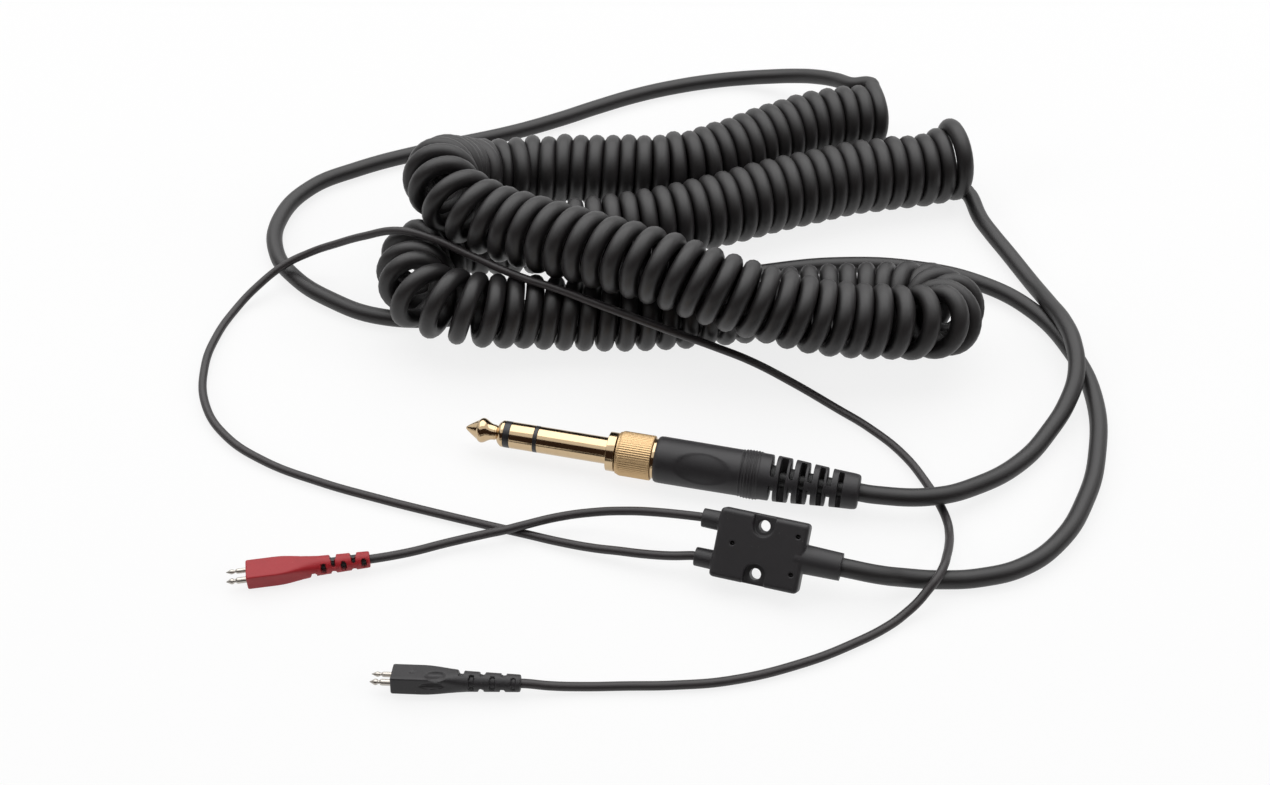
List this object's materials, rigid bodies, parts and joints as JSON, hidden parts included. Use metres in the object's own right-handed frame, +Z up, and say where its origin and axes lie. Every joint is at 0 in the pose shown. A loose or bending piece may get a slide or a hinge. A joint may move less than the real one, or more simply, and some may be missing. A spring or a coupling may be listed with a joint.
{
  "type": "coiled headphone cable",
  "caption": "Coiled audio cable with a gold jack plug and screw-on adapter, a flat splitter and polarised pin plugs on thin leads.",
  "frame": {"origin": "on the table, under the middle of the box round the jack, splitter and pin plugs", "axes": "+X from the plugs' pins towards the cords, +Y from the splitter towards the coil, +Z up from the table"},
  "size_m": [0.2221, 0.2266, 0.0381],
  "materials": {
    "gold_plate": "polished gold plate",
    "nickel_plate": "bright nickel plate",
    "black_rubber": "satin moulded rubber",
    "red_rubber": "satin moulded rubber",
    "black_insulator": "satin plastic",
    "cord_jacket": "satin cord jacket"
  },
  "bodies": {
    "cable": {"small_plug_tip": "gold_plate", "small_plug_tip_insulator": "black_insulator", "small_plug_ring": "gold_plate", "small_plug_ring_insulator": "black_insulator", "small_plug_sleeve": "gold_plate", "threaded_ferrule": "gold_plate", "plug_boot": "black_rubber", "splitter_block": "black_rubber", "splitter_core": "black_insulator", "red_plug_body": "red_rubber", "red_pin_carrier": "black_insulator", "red_large_pin": "nickel_plate", "red_small_pin": "nickel_plate", "black_plug_body": "black_rubber", "black_pin_carrier": "black_insulator", "black_large_pin": "nickel_plate", "black_small_pin": "nickel_plate", "coil": "cord_jacket", "cord_jack_side": "cord_jacket", "cord_splitter_side": "cord_jacket", "red_lead": "cord_jacket", "black_lead": "cord_jacket"},
    "adapter": {"adapter_tip": "gold_plate", "adapter_tip_insulator": "black_insulator", "adapter_ring": "gold_plate", "adapter_ring_insulator": "black_insulator", "adapter_sleeve": "gold_plate", "adapter_socket_liner": "black_insulator", "knurled_collar": "gold_plate"}
  },
  "joints": [
    {"name": "adapter_off", "type": "slide", "parent": "cable", "child": "adapter", "axis": [-0.977, 0.213, 0], "range_m": [0, 0.02]}
  ]
}
